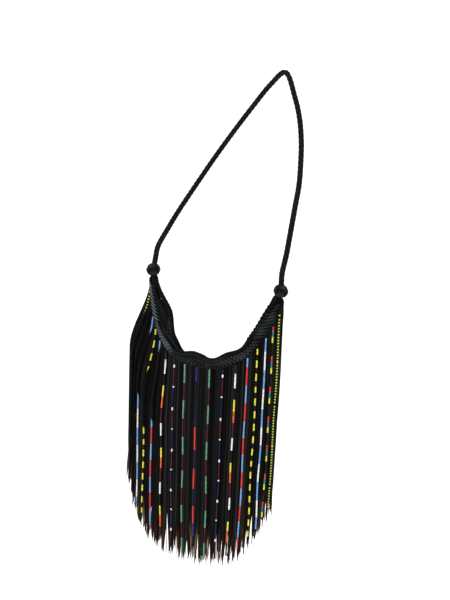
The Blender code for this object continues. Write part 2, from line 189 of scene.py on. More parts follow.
# Lengths along the seam at widths from its middle to a little past the tips.
seam_widths = np.linspace(0.0, scoop_half_width * 1.25, 4000)
seam_lengths = np.concatenate(
    [[0.0], np.cumsum(np.hypot(np.diff(seam_widths), np.diff(seam_height(seam_widths))))]
)


def seam_across(along):
    return np.sign(along) * np.interp(np.abs(along), seam_lengths, seam_widths)


def hanging_place(along):
    """Place across of a spot along the seam, and the height where what hangs there starts."""
    across = float(seam_across(along))
    return across, float(seam_height(across)) - fall_gap


def seam_place(along, inward):
    across = seam_across(along)
    tilt = np.arctan(seam_slope(across))
    return across - inward * np.sin(tilt), seam_height(across) + inward * np.cos(tilt)


def back_place(along, inward):
    """As seam_place, for the back rim, which dips between the tips."""
    across, height = seam_place(along, inward)
    spot = seam_across(along)
    left = ease((-spot - dip_left_start) / dip_left_reach)
    right = ease((spot - dip_right_start) / dip_right_reach)
    return across, height - back_dip * (1.0 - np.where(spot < 0.0, left, right))


def rim_width_at(along):
    start = tip_reach - narrowing_length
    narrowing = rim_narrowing * ease((np.abs(along) - start) / narrowing_length)
    wave = wave_height * np.cos(math.tau * (along - wave_crest) / wave_length)
    return rim_width - narrowing + wave * (1.0 - ease(np.abs(along) / wave_reach))


def pouch_outline(share, inset):
    """Across and height on the pouch's lower edge, from -1 at its left end to 1 at its right."""
    limit = math.pi / 2
    nudge = 0.002

    def outline(turn):
        side = np.sign(turn) * np.abs(np.sin(turn)) ** (2.0 / pouch_power)
        low = np.maximum(0.0, np.cos(turn)) ** (2.0 / pouch_power)
        return pouch_half_width * side, pouch_end_height - pouch_depth * low
    turn = share * limit
    before = outline(np.clip(turn - nudge, -limit, limit))
    after = outline(np.clip(turn + nudge, -limit, limit))
    run, rise = after[0] - before[0], after[1] - before[1]
    length = np.hypot(run, rise)
    across, height = outline(turn)
    return across - inset * rise / length, height + inset * run / length


def swell_at(across):
    return pouch_swell + side_swell * ease((-across - side_swell_start) / side_swell_width)


def fullness(across, height):
    return ease(np.maximum(0.0, seam_height(across) - height) / swell_reach)


def back_inner_at(across):
    closing = (mouth_gap - tip_gap) * ease((np.abs(across) - tip_gap_start) / tip_gap_reach)
    gaping = gape * np.maximum(0.0, 1.0 - ((across - gape_middle) / gape_reach) ** 2) ** 2
    return back_inner + closing - gaping


def front_radius(across, height, down):
    """Radius of the front wall's face. Down is the share of the way from its top to its foot."""
    flattening = 1.0 - ease((down - swell_edge_share) / (1.0 - swell_edge_share))
    swell = np.maximum(0.0, swell_at(across) - panel_slack)
    return panel_face + swell * fullness(across, height) * flattening


def back_radius(across, height, down=0.0):
    return back_inner_at(across) - hip_relief * fullness(across, height)


def pouch_place(edge_place, share, down, top_inset, edge_inset):
    top = edge_place(share * tip_reach, -top_inset)
    low = pouch_outline(share, edge_inset)
    return top[0] + down * (low[0] - top[0]), top[1] + down * (low[1] - top[1])


def hang_swell_at(across):
    return swell_at(across) + edge_swell * ease((-across - edge_swell_start) / edge_swell_reach)


def hang_place(across, drop, lift, start_height):
    """Places on what hangs from the seam, over the pouch's swell."""
    leaning = np.maximum(0.0, 1.0 - ((across - drift_middle) / drift_reach) ** 2)
    drifted = across + drift * leaning * drop / fringe_length
    radius = panel_face + lift + hang_swell_at(across) * ease(drop / swell_reach)
    return wrap(drifted, start_height - drop, radius)


# Middle of the knots between the two rims.
knot_radius = (rim_radius + back_inner + mouth_gap - tip_gap - back_rim_thickness) / 2


def knot_place(side):
    along = side * tip_reach
    beyond = knot_diameter / 2 + seat_gap
    tilt = math.atan(seam_slope(seam_across(along)))
    across, height = seam_place(along, rim_width_at(along) / 2 + knot_shift)
    return wrap(across + side * beyond * math.cos(tilt), height + beyond * abs(math.sin(tilt)), knot_radius)


# Mesh making.
def unit(vectors):
    return vectors / np.maximum(1e-9, np.linalg.norm(vectors, axis=-1, keepdims=True))


def turned(angles, first, second):
    """Ways turned by each angle from a first way towards a second one."""
    return np.cos(angles)[:, None] * first + np.sin(angles)[:, None] * second


def angles_round(count):
    return np.linspace(0.0, math.tau, count, endpoint=False)


def circle(diameter, count):
    """Round section for a sweep."""
    angles = angles_round(count)
    return np.stack([diameter / 2 * np.cos(angles), diameter / 2 * np.sin(angles)], -1)


def ring_faces(rings, sides):
    """Faces of a closed bar that is made of rings of points."""
    faces = []
    for ring in range(rings - 1):
        low, high = ring * sides, (ring + 1) * sides
        for side in range(sides):
            after = (side + 1) % sides
            faces.append((low + side, low + after, high + after, high + side))
    faces.append(tuple(range(sides - 1, -1, -1)))
    faces.append(tuple((rings - 1) * sides + side for side in range(sides)))
    return faces


class Shape:
    """Gathers points, faces and face finishes for one piece."""

    def __init__(self):
        self.points, self.faces, self.finishes, self.tones = [], [], [], []
        self.count = 0

    def add(self, points, faces, finish=0, tone=None):
        """Tone holds two shares for each point: how much it is painted paler, as rubbed wear and as painted
        highlight, and its piece's own tone.
        """
        points = np.asarray(points, float).reshape(-1, 3)
        tone = np.zeros((len(points), 2)) if tone is None else tone.reshape(-1, 2)
        self.points.append(points)
        self.faces.extend([tuple(index + self.count for index in face) for face in faces])
        self.finishes.extend([finish] * len(faces))
        self.tones.append(tone)
        self.count += len(points)

    def add_sweep(self, path, sides, fronts, section, scales=None, finish=0, tone=None):
        """Bar with one section along a path. Sides x fronts is the way along the path."""
        if scales is None:
            scales = np.ones((len(path), 2))
        rings = (
            path[:, None, :]
            + sides[:, None, :] * (section[None, :, 0] * scales[:, 0:1])[:, :, None]
            + fronts[:, None, :] * (section[None, :, 1] * scales[:, 1:2])[:, :, None]
        )
        self.add(rings, ring_faces(len(path), len(section)), finish, tone)

    def add_slab(self, outer, inner):
        """Closed sheet between two grids of points with the same rows and columns."""
        rows, columns = outer.shape[:2]
        count = rows * columns
        index = np.arange(count).reshape(rows, columns)
        faces = []
        for row in range(rows - 1):
            for column in range(columns - 1):
                a, b = index[row, column], index[row, column + 1]
                c, d = index[row + 1, column + 1], index[row + 1, column]
                faces.append((a, b, c, d))
                faces.append((d + count, c + count, b + count, a + count))
        edge = list(index[0, :]) + list(index[1:, -1]) + list(index[-1, -2::-1]) + list(index[-2:0:-1, 0])
        for a, b in zip(edge, edge[1:] + edge[:1]):
            faces.append((b, a, a + count, b + count))
        self.add(np.concatenate([outer.reshape(-1, 3), inner.reshape(-1, 3)]), faces)

    def build(self, name, materials, smooth_angle=50.0):
        mesh = bpy.data.meshes.new(name)
        mesh.from_pydata(np.concatenate(self.points).tolist(), [], self.faces)
        for material in materials:
            mesh.materials.append(material)
        mesh.polygons.foreach_set("material_index", np.array(self.finishes, np.int32))
        tones = np.concatenate(self.tones)
        for index, label in enumerate(("wear_and_highlight_share", "piece_tone")):
            layer = mesh.attributes.new(label, "FLOAT", "POINT")
            layer.data.foreach_set("value", tones[:, index].astype(np.float32))
        mesh.shade_smooth()
        mesh.set_sharp_from_angle(angle=math.radians(smooth_angle))
        piece = bpy.data.objects.new(name, mesh)
        bpy.context.scene.collection.objects.link(piece)
        return piece


def finish_piece(piece, body, node):
    """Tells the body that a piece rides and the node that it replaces."""
    if body:
        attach(piece, body)
    if node:
        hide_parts(node)


def carried_frames(path):
    """Ways along, to the side and to the front of a path, carried along it without twisting."""
    along = unit(np.gradient(path, axis=0))
    side = unit(np.cross(along[0], [0.0, 0.0, 1.0] if abs(along[0][2]) < 0.9 else [0.0, 1.0, 0.0]))
    sides = [side]
    for way in along[1:]:
        side = side - way * (side @ way)
        side = side / np.linalg.norm(side)
        sides.append(side)
    sides = np.array(sides)
    return along, sides, np.cross(along, sides)


def even_path(places, spacing):
    """Smooth curve through the places, in even steps, and its length."""
    steps_between = 24
    places = np.asarray(places, float)
    padded = np.concatenate([places[:1], places, places[-1:]])
    t = np.arange(steps_between)[:, None] / steps_between
    fine = []
    for before, start, end, after in zip(padded, padded[1:], padded[2:], padded[3:]):
        fine.append(0.5 * (
            2.0 * start + (end - before) * t
            + (2.0 * before - 5.0 * start + 4.0 * end - after) * t * t
            + (3.0 * start - before - 3.0 * end + after) * t ** 3
        ))
    fine = np.concatenate(fine + [places[-1:]])
    lengths = np.concatenate([[0.0], np.cumsum(np.linalg.norm(np.diff(fine, axis=0), axis=1))])
    steps = max(2, int(round(lengths[-1] / spacing)))
    spots = np.linspace(0.0, lengths[-1], steps + 1)
    return np.stack([np.interp(spots, lengths, fine[:, axis]) for axis in range(3)], -1), lengths[-1]


def add_cord(shape, points, outs, width, thickness, finish=0, wear_and_highlight=None, count=10):
    """A cord or flat lace along points, with its broad side square to the ways out."""
    heading = unit(np.gradient(points, axis=0))
    sides = unit(np.cross(outs, heading))
    fronts = np.cross(heading, sides)
    scales = np.stack(np.broadcast_arrays(width, thickness, points[:, 0])[:2], -1)
    tone = np.zeros((len(points), count, 2))
    if wear_and_highlight is not None:
        tone[:, :, 0] = wear_and_highlight[:, None]
    shape.add_sweep(points, sides, fronts, circle(1.0, count), scales, finish, tone)


# Materials.
def linear(hex_colour):
    """An sRGB hex colour as linear RGBA."""
    channels = [int(hex_colour[spot:spot + 2], 16) / 255 for spot in (1, 3, 5)]
    curved = [c / 12.92 if c <= 0.04045 else ((c + 0.055) / 1.055) ** 2.4 for c in channels]
    return (*curved, 1.0)


def add_node(tree, kind, inputs=None, stops=(), **settings):
    """New node with its settings, its sockets' links or values, and a colour ramp's stops."""
    made = tree.nodes.new(kind)
    for name, value in settings.items():
        setattr(made, name, value)
    for name, value in (inputs or {}).items():
        if isinstance(value, bpy.types.NodeSocket):
            tree.links.new(value, made.inputs[name])
        else:
            made.inputs[name].default_value = value
    if stops:
        elements = made.color_ramp.elements
        while len(elements) < len(stops):
            elements.new(0.5)
        for element, (place, colour) in zip(elements, stops):
            element.position = place
            element.color = colour
    return made


def start_material(name, roughness, **shader):
    """New material, its node tree and its Principled shader with the given sockets."""
    material = bpy.data.materials.new(name)
    material.use_nodes = True
    tree = material.node_tree
    surface = tree.nodes["Principled BSDF"]
    surface.inputs["Roughness"].default_value = roughness
    for label, value in shader.items():
        surface.inputs[label.replace("_", " ")].default_value = value
    return material, tree, surface


def leather_finish(name, deep, wear_and_highlight, roughness, gloss=0.08, grain=1.2 * mm, depth=0.10 * mm):
    """Drum-dyed black cowhide: pebbled grain, finer pores, and a paler colour on the crowns, painted as
    rubbed dye and as painted highlight.

    Grain is the width of a pebble and depth how deep the grain is pressed. Oiled black hide
    gives back little light, so its specular level, the gloss, is low.
    """
    pore_width = grain / 4.0
    patch_width = grain / 0.03
    material, tree, surface = start_material(name, roughness, Specular_IOR_Level=gloss)
    place = add_node(tree, "ShaderNodeTexCoord").outputs["Object"]
    cells = add_node(tree, "ShaderNodeTexVoronoi", {"Vector": place, "Scale": 1.0 / grain},
                     feature="DISTANCE_TO_EDGE")
    pores = add_node(tree, "ShaderNodeTexNoise", {"Vector": place, "Scale": 1.0 / pore_width, "Detail": 4.0})
    patches = add_node(tree, "ShaderNodeTexNoise", {
        "Vector": place, "Scale": 1.0 / patch_width, "Detail": 3.0})
    # This share paints the surface paler towards the second colour, as rubbed wear and as painted highlight.
    rubbed_and_highlit = add_node(tree, "ShaderNodeAttribute", attribute_name="wear_and_highlight_share").outputs["Fac"]
    uneven = add_node(tree, "ShaderNodeMapRange", {
        "Value": patches.outputs["Fac"], "From Min": 0.3, "From Max": 0.7, "To Min": -0.2, "To Max": 0.1})
    wear_and_highlit = add_node(tree, "ShaderNodeMath", {0: rubbed_and_highlit, 1: uneven.outputs["Result"]},
                    operation="ADD", use_clamp=True)
    tint = add_node(tree, "ShaderNodeValToRGB", {0: wear_and_highlit.outputs["Value"]},
                    [(0.0, linear(deep)), (1.0, linear(wear_and_highlight))])
    tree.links.new(tint.outputs["Color"], surface.inputs["Base Color"])
    shine = add_node(tree, "ShaderNodeMapRange", {
        "Value": wear_and_highlit.outputs["Value"], "To Min": roughness + 0.10, "To Max": roughness - 0.08})
    tree.links.new(shine.outputs["Result"], surface.inputs["Roughness"])
    relief = add_node(tree, "ShaderNodeMath", {
        0: pores.outputs["Fac"], 1: 0.35, 2: cells.outputs["Distance"]}, operation="MULTIPLY_ADD")
    bump = add_node(tree, "ShaderNodeBump", {
        "Height": relief.outputs["Value"], "Strength": 0.5, "Distance": depth})
    tree.links.new(bump.outputs["Normal"], surface.inputs["Normal"])
    return material


def strip_finish():
    """Split cowhide cut in strips: dyed black, with the brown flesh side showing near the tips."""
    fibre_width = 1.0 * mm
    material, tree, surface = start_material("cut_split_leather", 0.6, Specular_IOR_Level=0.03)
    place = add_node(tree, "ShaderNodeTexCoord").outputs["Object"]
    # The fibres lie along the strip.
    stretched = add_node(tree, "ShaderNodeMapping", {"Vector": place, "Scale": (1.0, 1.0, 0.05)})
    fibres = add_node(tree, "ShaderNodeTexNoise", {
        "Vector": stretched.outputs["Vector"], "Scale": 1.0 / fibre_width, "Detail": 4.0})
    # Share of flesh colour: the bare flesh near some tips, and on the cut edges also painted sheen.
    bare = add_node(tree, "ShaderNodeAttribute", attribute_name="wear_and_highlight_share").outputs["Fac"]
    tone = add_node(tree, "ShaderNodeAttribute", attribute_name="piece_tone").outputs["Fac"]
    dye = add_node(tree, "ShaderNodeValToRGB", {0: tone}, [
        (0.0, linear("#020202")), (0.5, linear("#070708")),
        (0.8, linear("#131516")), (1.0, linear("#232320"))])
    flesh = add_node(tree, "ShaderNodeValToRGB", {0: fibres.outputs["Fac"]}, [
        (0.3, linear("#4a3020")), (0.7, linear("#b08c6e"))])
    tint = add_node(tree, "ShaderNodeMix", {
        "Factor": bare, 6: dye.outputs["Color"], 7: flesh.outputs["Color"]}, data_type="RGBA")
    tree.links.new(tint.outputs[2], surface.inputs["Base Color"])
    bump = add_node(tree, "ShaderNodeBump", {
        "Height": fibres.outputs["Fac"], "Strength": 0.4, "Distance": 0.2 * mm})
    tree.links.new(bump.outputs["Normal"], surface.inputs["Normal"])
    return material


def glass_finish(name, colour):
    """Opaque pressed glass: even colour right through, with a fire-polished gloss.

    The colour varies from bead to bead, and the dark beads are worn duller than the bright ones.
    """
    dark_below = 0.3
    batch_width = 2.857 * mm
    channels = linear(colour)[:3]
    gloss = 0.12 if max(channels) < dark_below else 0.4
    material, tree, surface = start_material(
        "seed_glass_" + name, 0.12, IOR=1.52, Specular_IOR_Level=gloss)
    place = add_node(tree, "ShaderNodeTexCoord").outputs["Object"]
    batch = add_node(tree, "ShaderNodeTexNoise", {
        "Vector": place, "Scale": 1.0 / batch_width, "Detail": 1.0})
    pale = [min(1.0, channel * 1.25 + 0.01) for channel in channels] + [1.0]
    deep = [channel * 0.8 for channel in channels] + [1.0]
    tint = add_node(tree, "ShaderNodeValToRGB", {0: batch.outputs["Fac"]}, [(0.35, deep), (0.65, pale)])
    tree.links.new(tint.outputs["Color"], surface.inputs["Base Color"])
    return material


def lining_finish():
    """Cotton twill lining: fine diagonal ribs, drawn coarse enough to show."""
    rib_width = 1.2 * mm
    rib_slant = 0.7
    material, tree, surface = start_material("twill_lining", 0.85, Sheen_Weight=0.3)
    place = add_node(tree, "ShaderNodeTexCoord").outputs["Object"]
    slanted = add_node(tree, "ShaderNodeMapping", {"Vector": place, "Rotation": (0.0, rib_slant, 0.0)})
    ribs = add_node(tree, "ShaderNodeTexWave", {
        "Vector": slanted.outputs["Vector"], "Scale": 1.0 / rib_width / math.tau, "Distortion": 1.0})
    tint = add_node(tree, "ShaderNodeValToRGB", {0: ribs.outputs["Fac"]}, [
        (0.2, linear("#1f2527")), (0.8, linear("#2a3133"))])
    tree.links.new(tint.outputs["Color"], surface.inputs["Base Color"])
    bump = add_node(tree, "ShaderNodeBump", {
        "Height": ribs.outputs["Fac"], "Strength": 0.3, "Distance": 0.08 * mm})
    tree.links.new(bump.outputs["Normal"], surface.inputs["Normal"])
    return material


def nickel_finish():
    """Nickel plate on stamped steel: bright, with faint turning marks."""
    mark_width = 1.43 * mm
    material, tree, surface = start_material("nickel_plate", 0.25, Metallic=1.0)
    place = add_node(tree, "ShaderNodeTexCoord").outputs["Object"]
    marks = add_node(tree, "ShaderNodeTexNoise", {"Vector": place, "Scale": 1.0 / mark_width, "Detail": 3.0})
    tint = add_node(tree, "ShaderNodeValToRGB", {0: marks.outputs["Fac"]}, [
        (0.3, linear("#a9a49b")), (0.7, linear("#c9c5bd"))])
    tree.links.new(tint.outputs["Color"], surface.inputs["Base Color"])
    return material


# The second colour of each leather is what the code paints its crowns and cords with, as rubbed wear and as
# painted highlight.
plait_leather = leather_finish("plaited_lace_leather", "#070809", "#666d6e", 0.55, 0.04)
piping_leather = leather_finish("rolled_piping_leather", "#060607", "#2c3032", 0.45, 0.06)
panel_leather = leather_finish(
    "drum_dyed_panel_leather", "#0c0e10", "#232527", 0.55, grain=1.5 * mm, depth=0.18 * mm)
strap_leather = leather_finish("braided_strap_leather", "#050506", "#232526", 0.55, 0.04)
woven_facing_leather = leather_finish("woven_facing_leather", "#0c0e0f", "#6e7678", 0.55, 0.04)
# Facings are pared thin and ironed, so they are nearly smooth. Their colour is painted paler than the other
# black leather, as painted light inside the shaded mouth.
smooth_facing_leather_painted_lit = leather_finish(
    "smooth_facing_leather_painted_lit", "#262c2e", "#32393b", 0.6, 0.1, grain=2.0 * mm, depth=0.05 * mm)
knot_leather = leather_finish("wound_knot_leather", "#050506", "#262728", 0.45)
strip_leather = strip_finish()
# Black thread, whose twist is too fine to show, looks like leather with a finer grain.
waxed_thread = leather_finish(
    "waxed_linen_thread", "#0c0b0b", "#26241f", 0.6, grain=0.6 * mm, depth=0.05 * mm)
twill = lining_finish()
nickel = nickel_finish()

# The beads' colours by name. White and yellow are opaque, the darker ones nearly so.
bead_colours = {
    "purple": "#35237c", "maroon": "#430f17", "navy": "#10113f", "red": "#c92a22", "green": "#5f8f78",
    "white": "#f2f2f0", "black": "#080808", "yellow": "#e2da34", "orange": "#dc5a1c", "sky": "#6a9fd6",
    "teal": "#2c7f8c", "lime": "#ccd64c",
}
bead_names = list(bead_colours)
bead_finishes = [glass_finish(name, bead_colours[name]) for name in bead_names]

# Colour runs of each strand from the top, in millimetres, by its place from the middle.
strand_runs = {
    0: (("purple", 30), ("black", 48), ("navy", 46), ("red", 44), ("navy", 42), ("red", 44), ("navy", 38),
        ("red", 36)),
    1: (("green", 38), ("maroon", 36)),
    2: (("navy", 20), ("white", 4), ("maroon", 39), ("white", 4), ("navy", 20)),
    3: (("maroon", 20), ("white", 28), ("black", 24), ("yellow", 21), ("orange", 25), ("maroon", 10)),
    4: (("sky", 36), ("red", 36)),
    5: (("yellow", 14), ("black", 11.6)),
    6: (("sky", 40), ("white", 38)),
    7: (("red", 12), ("teal", 11), ("yellow", 12), ("black", 26)),
    8: (("lime", 3), ("black", 3)),
}
# How far into its runs a strand starts, where that isn't at the first bead.
strand_leads = {-7: 35 * mm, -2: 7 * mm, 2: 7 * mm, 4: 16 * mm, 6: 12 * mm}

# The fringe's strips.
strip_pitch = 3.7 * mm
strip_width = 4.4 * mm
strip_width_spread = (0.85, 1.05)
strip_leather_thickness = 1.0 * mm
ring_step = 12 * mm
# Distances of the strips' middles in front of the pouch, layer by layer.
layer_lifts = (1.9 * mm, 0.8 * mm)
# Strips are cut up to this much short. The seam holds them stiff at first, and past the loose
# share of their length they lean to the nearer of two clumps, one on each side of the strand.
cut_short = 28 * mm
held_length = 30 * mm
freeing_length = 200 * mm
loose_share = 0.72
clump_shares = (0.2, 0.75)
clump_spread = 3.0 * mm
clump_pull = 0.55
# How far a strip wanders sideways and to the front, and over what lengths.
sway = 0.6 * mm
sway_lengths = ((0.10, 0.16), (0.18, 0.30))
ripple = 0.4 * mm
ripple_length = 0.11
# How far a loose end lies to one side, lifts, turns in radians and narrows.
tip_splay = 2.4 * mm
tip_lifts = (-0.5 * mm, 2.5 * mm)
free_turn = 0.35
tip_turn = 1.1
tip_narrowing = 0.4
# A hanging strip lies a little wider than at the seam. Its tip is cut slantwise, and these are
# the shares of its width before the tip, and of its width and thickness at the tip.
free_widening = 0.10
shoulder_share = 0.75
tip_shares = (0.15, 0.6)
tip_slant = 0.35
# A few tips show the bare flesh side. The cut edges are painted a little paler, for the hide's undyed middle
# and as painted sheen along the strips' edges.
bare_chance = 0.12
bare_tip = 0.9
dyed_tip = 0.10
bare_edge_and_sheen = 0.12
# On the left side strips have fallen over the strands, between these drops in metres.
fallen_stretches = {
    -8: (0.045, 0.5), -7: (0.012, 0.5), -6: (0.036, 0.150), -5: (0.085, 0.190), -4: (0.022, 0.150),
}
# A fallen strip starts this far beside its strand, and lies this clear of the beads on the side
# that the camera looks from.
fallen_aside = 5.0 * mm
fallen_clearance = 3.0 * mm
fallen_step = 8 * mm
fallen_cut_short = 20 * mm
# It crosses to the front and back again over these drops, once it has left the seam.
fallen_crossing = 20 * mm
fallen_return = 30 * mm
fallen_start = 12 * mm
fallen_tip_shares = (0.2, 0.6)

# A strip's section as shares of its width and thickness, flat with eased edges.
strip_section = np.array([
    (0.5, 0.0), (0.42, 0.5), (-0.42, 0.5), (-0.5, 0.0), (-0.42, -0.5), (0.42, -0.5),
])


def station_name(station):
    if station == 0:
        return "middle"
    return f"{'left' if station < 0 else 'right'}_{abs(station)}"


def bead_lift(across, drop):
    """Lift of a strand's middle, more where the strips slant under it."""
    height = seam_height(across) - drop

    def stand_out(spot):
        return hang_swell_at(spot) * fullness(spot, height)
    reach = bead_diameter / 2
    slant = (stand_out(across + reach) - stand_out(across - reach)) / bead_diameter
    return fall_gap + strip_thickness + (seat_gap + reach) * np.hypot(1.0, slant)


def add_fallen_strip(shape, station, chance):
    """A strip that hangs beside its station's strand and lies before it for a stretch."""
    along = station * station_pitch
    strand, strand_start = hanging_place(along)
    across, start = hanging_place(along + fallen_aside)
    length = fringe_length - chance.uniform(0.0, fallen_cut_short)
    drop = np.linspace(0.0, length, int(length / fallen_step))
    strand_drop = np.maximum(0.0, drop + strand_start - start)
    first, last = fallen_stretches[station]
    over = ease((strand_drop - first) / fallen_crossing + 0.7)
    over = over * (1.0 - ease((strand_drop - last) / fallen_return))
    over = (over * ease(drop / fallen_start))[:, None]
    aside = hang_place(np.full(len(drop), across), drop, layer_lifts[0], start)
    sight = np.array([math.sin(camera_azimuth), -math.cos(camera_azimuth), 0.0])
    before = hang_place(np.full(len(drop), strand), strand_drop, bead_lift(strand, strand_drop), strand_start)
    before = before + sight * (bead_diameter / 2 + fallen_clearance)
    before[:, 2] = aside[:, 2]
    turn = across / rim_radius
    flat = np.array([[math.cos(turn), math.sin(turn), 0.0]])
    square = np.array([[math.cos(camera_azimuth), math.sin(camera_azimuth), 0.0]])
    sides = unit(flat * (1.0 - over) + square * over)
    fronts = unit(np.cross(sides, [0.0, 0.0, 1.0]))
    scales = np.ones((len(drop), 2)) * [strip_width, strip_leather_thickness]
    scales[-1] *= fallen_tip_shares
    tone = np.zeros((len(drop), len(strip_section), 2))
    tone[:, :, 1] = chance.uniform(0.0, 0.8)
    shape.add_sweep(aside * (1.0 - over) + before * over, sides, fronts, strip_section, scales, 0, tone)


def add_strip(shape, along, lift, chance, width, clump):
    """One strip: hangs flat from the seam, wanders a little, and leans to its clump near its tip."""
    across, start = hanging_place(along)
    longer = side_length * ease((abs(across) - side_length_start) / side_length_reach)
    length = fringe_length + longer - chance.uniform(0.0, cut_short)
    rings = int(length / ring_step)
    drop = np.linspace(0.0, length, rings)
    free = ease((drop - held_length) / freeing_length)
    loose = ease((drop / length - loose_share) / (1.0 - loose_share))
    swayed = np.zeros(rings)
    for wave in [chance.uniform(*lengths) for lengths in sway_lengths]:
        size = sway * chance.uniform(0.3, 1.0)
        swayed += size * np.sin(drop / wave * math.tau + chance.uniform(0, math.tau))
    splay = chance.uniform(-1.0, 1.0) * tip_splay * loose + clump_pull * (clump - along) * loose ** 2
    lifts = lift + free * ripple * np.sin(drop / ripple_length + chance.uniform(0, math.tau))
    lifts = lifts + loose * chance.uniform(*tip_lifts)
    spot = across + swayed * free + splay
    points = hang_place(spot, drop, lifts, start)
    # The strip lies in the swelling surface, so it is wider where that surface slants.
    beyond, short_of = hang_place(spot + mm, drop, lifts, start), hang_place(spot - mm, drop, lifts, start)
    beside = (beyond - short_of) / (2 * mm)
    side_way = unit(beside)
    front_way = unit(np.cross(side_way, [0.0, 0.0, 1.0]))
    twist = chance.uniform(-free_turn, free_turn) * free + chance.uniform(-tip_turn, tip_turn) * loose
    sides = turned(twist, side_way, front_way)
    fronts = turned(twist, front_way, -side_way)
    scales = np.ones((rings, 2)) * [width, strip_leather_thickness]
    scales[:, 0] *= np.linalg.norm(beside, axis=1)
    scales[:, 0] *= (1.0 + free_widening * free) * (1.0 - tip_narrowing * loose ** 3)
    scales[-2, 0] *= shoulder_share
    scales[-1] *= tip_shares
    points[-1] += sides[-1] * chance.choice((-tip_slant, tip_slant)) * width
    bare = (bare_tip if chance.random() < bare_chance else chance.uniform(0.0, dyed_tip)) * loose ** 3
    tone = np.zeros((rings, len(strip_section), 2))
    tone[:, :, 0] = bare[:, None]
    # The first and fourth points of the section are its two edges.
    # The cut edges are painted a little paler, for the hide's undyed middle and as painted sheen.
    tone[:, 0::3, 0] += chance.uniform(0.0, bare_edge_and_sheen)
    tone[:, :, 1] = chance.random()
    shape.add_sweep(points, sides, fronts, strip_section, scales, 0, tone)


def make_strips(station, chance):
    """Two layers of strips, equally spaced along the seam, on both sides of a strand."""
    name = station_name(station)
    shape = Shape()
    first = (station - 0.5) * station_pitch
    last = (station + 0.5) * station_pitch
    if station == side_stations:
        last = tip_reach - seat_gap
    if station == -side_stations:
        first = -tip_reach + seat_gap
    count = round((last - first) / strip_pitch)
    pitch = (last - first) / count
    clumps = [first + (last - first) * share + chance.uniform(-clump_spread, clump_spread)
              for share in clump_shares]
    for layer, lift in enumerate(layer_lifts):
        for strip in range(count):
            along = first + pitch * (strip + 0.5 * layer + 0.25)
            clump = min(clumps, key=lambda spot: abs(spot - along))
            add_strip(shape, along, lift, chance, strip_width * chance.uniform(*strip_width_spread), clump)
    if station in fallen_stretches:
        add_fallen_strip(shape, station, chance)
    finish_piece(shape.build("strips_" + name, [strip_leather]), "fall_" + name, "fringe_" + name)


# The bead strands.
bead_pitch = 2.9 * mm
bead_sides = 10
bead_widths = (0.94, 1.04)
bead_lengths = (0.95, 1.0)
# Outline of a seed bead as shares of its diameter and of its length.
bead_profile = ((0.52, -0.47), (0.90, -0.40), (1.0, -0.14), (1.0, 0.14), (0.90, 0.40), (0.52, 0.47))
# The first bead is this clear of the rim's slanting edge, also when the strand swings out.
swing_room = 1.2 * mm
# How far a strand wanders, over what lengths, and the drop from which it does so fully.
strand_sway = 0.9 * mm
strand_sway_lengths = (0.15, 0.3)
strand_sway_start = 0.3
thread_diameter = 1.0 * mm
# The knot at the thread's end, with its outline as shares of its diameter.
end_knot_diameter = 2.4 * mm
end_knot_length = 3.0 * mm
end_knot_shares = (0.3, 0.8, 1.0, 0.8, 0.3)


def run_colour(runs, depth):
    """Colour name at a depth down a strand whose colour runs repeat."""
    depth = depth % (sum(length for _, length in runs) * mm)
    for name, length in runs:
        depth -= length * mm
        if depth < 0:
            return name
    return runs[-1][0]


def make_beads(station, chance):
    """A strand of beads on a thread that starts at the seam and ends in a knot."""
    name = station_name(station)
    across, start = hanging_place(station * station_pitch)
    tilt = math.atan(float(seam_slope(across)))
    first = (bead_diameter / 2 + swing_room) / math.cos(tilt) - fall_gap - bead_pitch / 2
    count = int((strand_length - first) / bead_pitch)
    drops = first + bead_pitch * np.arange(count + 1)
    wave, phase = chance.uniform(*strand_sway_lengths), chance.uniform(0, math.tau)
    swayed = strand_sway * np.sin(drops / wave * math.tau + phase) * ease(drops / strand_sway_start)
    path = hang_place(across + swayed, drops, bead_lift(across, drops), start)
    along = unit(np.gradient(path, axis=0))
    turn = across / rim_radius
    side = np.array([math.cos(turn), math.sin(turn), 0.0])
    sides = unit(side - along * (along @ side)[:, None])
    fronts = np.cross(along, sides)
    shape = Shape()
    angles = angles_round(bead_sides)
    faces = ring_faces(len(bead_profile), bead_sides)
    for bead in range(count):
        middle = (path[bead] + path[bead + 1]) / 2
        width = chance.uniform(*bead_widths) * bead_diameter
        length = chance.uniform(*bead_lengths) * bead_pitch
        round_bead = turned(angles, sides[bead], fronts[bead])
        rings = [middle + along[bead] * length_share * length + width_share * width / 2 * round_bead
                 for width_share, length_share in bead_profile]
        colour = run_colour(strand_runs[abs(station)],
                            drops[bead] + bead_pitch / 2 + strand_leads.get(station, 0.0))
        shape.add(np.array(rings), faces, bead_names.index(colour))
    top = hang_place(np.array([across]), np.array([0.0]), bead_lift(across, 0.0) - thread_diameter, start)
    thread = np.concatenate([top, path])
    along, sides, fronts = carried_frames(thread)
    shape.add_sweep(thread, sides, fronts, circle(thread_diameter, 6), None, len(bead_names))
    rings = len(end_knot_shares)
    end = path[-1] + along[-1] * np.linspace(0.0, end_knot_length, rings)[:, None]
    scales = np.repeat(np.array(end_knot_shares)[:, None], 2, 1)
    shape.add_sweep(end, np.tile(sides[-1], (rings, 1)), np.tile(fronts[-1], (rings, 1)),
                    circle(end_knot_diameter, 8), scales, len(bead_names))
    finish_piece(shape.build("beads_" + name, bead_finishes + [waxed_thread]), "fall_" + name,
                 "bead_strand_" + name)


